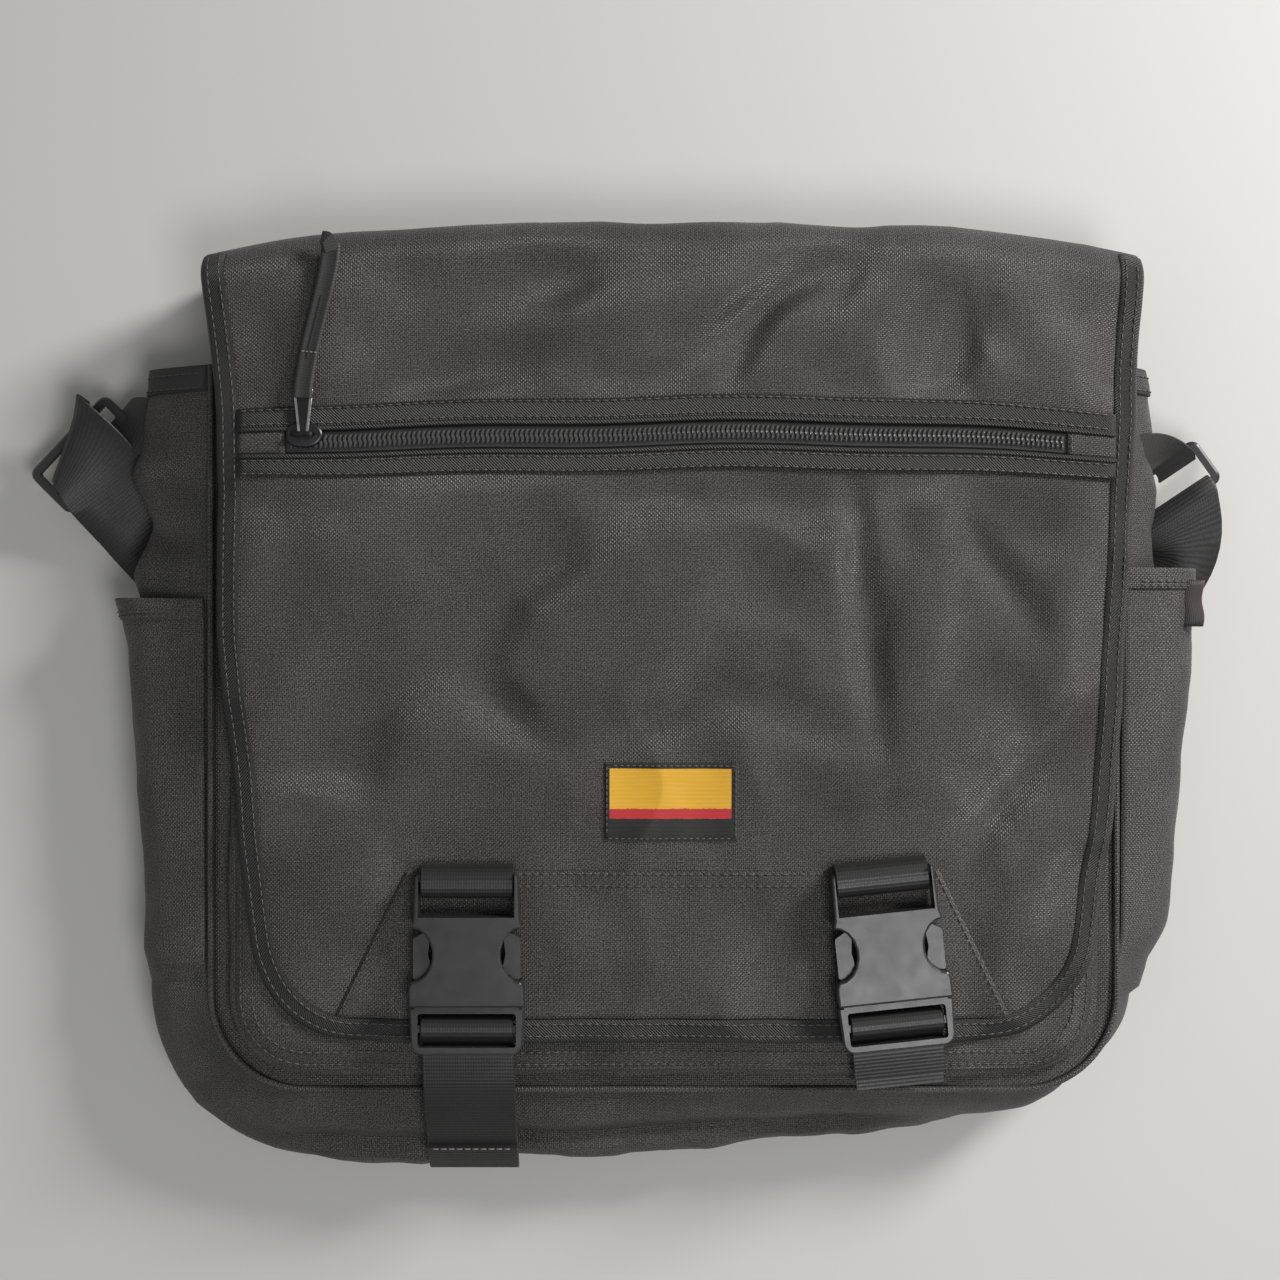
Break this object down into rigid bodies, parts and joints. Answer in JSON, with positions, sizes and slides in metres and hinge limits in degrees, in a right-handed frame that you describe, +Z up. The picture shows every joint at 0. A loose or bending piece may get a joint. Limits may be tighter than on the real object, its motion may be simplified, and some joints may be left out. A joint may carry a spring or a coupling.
{
  "type": "messenger bag",
  "caption": "Black canvas messenger bag lying on its back: lifting flap with a zip across it, side-release buckles on webbing, pleated front pocket, side pockets and a shoulder strap.",
  "frame": {"origin": "middle of the bag's body, without its shoulder strap, on the surface that the back panel rests on", "axes": "+X across the bag's width, +Y towards the fold at the top of the flap, +Z up through the front of the bag as it lies on its back"},
  "size_m": [0.5321, 0.397, 0.0722],
  "materials": {
    "canvas": "matte plain-weave canvas, charcoal",
    "binding": "folded twill tape, black",
    "webbing": "woven nylon webbing, black, slight sheen",
    "buckle_plastic": "satin moulded plastic, dark grey",
    "zip_coil": "glossy nylon coil",
    "zip_metal": "dark gunmetal plating",
    "patch": "woven patch in plain colour bands",
    "label": "folded ribbon tab with a red edge"
  },
  "bodies": {
    "bag": {"back_panel": "canvas", "bottom_panel": "canvas", "front_panel": "canvas", "front_pocket_bellows": "canvas", "front_pocket_face": "canvas", "front_pocket_hem": "binding", "gusset_left": "canvas", "gusset_right": "canvas", "latch_anchor_left": "webbing", "latch_anchor_right": "webbing", "mouth_binding_left": "binding", "mouth_binding_right": "binding", "pocket_label_tab": "label", "side_pocket_hem_left": "binding", "side_pocket_hem_right": "binding", "side_pocket_left": "canvas", "side_pocket_right": "canvas", "strap_adjuster": "buckle_plastic", "strap_anchor_left": "webbing", "strap_anchor_right": "webbing", "strap_hank": "webbing", "strap_left": "webbing", "strap_right": "webbing", "strap_ring": "buckle_plastic"},
    "flap_roof": {"flap_roof": "canvas"},
    "flap": {"buckle_female_left": "buckle_plastic", "buckle_female_right": "buckle_plastic", "buckle_loop_left": "webbing", "buckle_loop_right": "webbing", "flap_binding_bottom": "binding", "flap_binding_left": "binding", "flap_binding_right": "binding", "flap_lining": "canvas", "flap_lower_panel": "canvas", "flap_main_panel": "canvas", "flap_upper_panel": "canvas", "woven_patch": "patch", "zip_binding_lower": "binding", "zip_binding_upper": "binding", "zip_chain": "zip_coil", "zip_end_tab_left": "canvas", "zip_end_tab_right": "canvas"},
    "zip_slider": {"zip_slider": "zip_metal"},
    "zip_pull": {"zip_pull_tab": "zip_metal", "zip_pull_ribbon": "webbing"},
    "latch_left": {"buckle_male_left": "buckle_plastic", "latch_tail_left": "webbing"},
    "latch_right": {"buckle_male_right": "buckle_plastic", "latch_tail_right": "webbing"},
    "arm_left_inner": {"latch_arm_left_inner": "buckle_plastic"},
    "arm_left_outer": {"latch_arm_left_outer": "buckle_plastic"},
    "arm_right_inner": {"latch_arm_right_inner": "buckle_plastic"},
    "arm_right_outer": {"latch_arm_right_outer": "buckle_plastic"}
  },
  "joints": [
    {"name": "flap_back_fold", "type": "hinge", "parent": "bag", "child": "flap_roof", "pos_m": [0, 0.1979, 0.003], "axis": [-1, 0, 0], "range_deg": [0, 90]},
    {"name": "flap_front_fold", "type": "hinge", "parent": "flap_roof", "child": "flap", "pos_m": [0, 0.1965, 0.0582], "axis": [-1, 0, 0], "range_deg": [0, 85]},
    {"name": "zip_slide", "type": "slide", "parent": "flap", "child": "zip_slider", "axis": [1, 0, 0], "range_m": [0, 0.305]},
    {"name": "zip_pull_swing", "type": "hinge", "parent": "zip_slider", "child": "zip_pull", "pos_m": [-0.15, 0.1063, 0.0638], "axis": [1, 0, 0], "range_deg": [0, 170]},
    {"name": "latch_left_release", "type": "slide", "parent": "bag", "child": "latch_left", "axis": [0, -1, 0], "range_m": [0, 0.03]},
    {"name": "arm_left_inner_press", "type": "hinge", "parent": "latch_left", "child": "arm_left_inner", "pos_m": [-0.065, -0.1205, 0.065], "axis": [0, 0, 1], "range_deg": [0, 6], "stiffness_Nm_per_rad": 0.02},
    {"name": "arm_left_outer_press", "type": "hinge", "parent": "latch_left", "child": "arm_left_outer", "pos_m": [-0.098, -0.1205, 0.065], "axis": [0, 0, -1], "range_deg": [0, 6], "stiffness_Nm_per_rad": 0.02},
    {"name": "latch_right_release", "type": "slide", "parent": "bag", "child": "latch_right", "axis": [0.1045, -0.9945, 0], "range_m": [0, 0.03]},
    {"name": "arm_right_inner_press", "type": "hinge", "parent": "latch_right", "child": "arm_right_inner", "pos_m": [0.07797, -0.12018, 0.065], "axis": [0, 0, -1], "range_deg": [0, 6], "stiffness_Nm_per_rad": 0.02},
    {"name": "arm_right_outer_press", "type": "hinge", "parent": "latch_right", "child": "arm_right_outer", "pos_m": [0.11079, -0.11673, 0.065], "axis": [0, 0, 1], "range_deg": [0, 6], "stiffness_Nm_per_rad": 0.02}
  ]
}
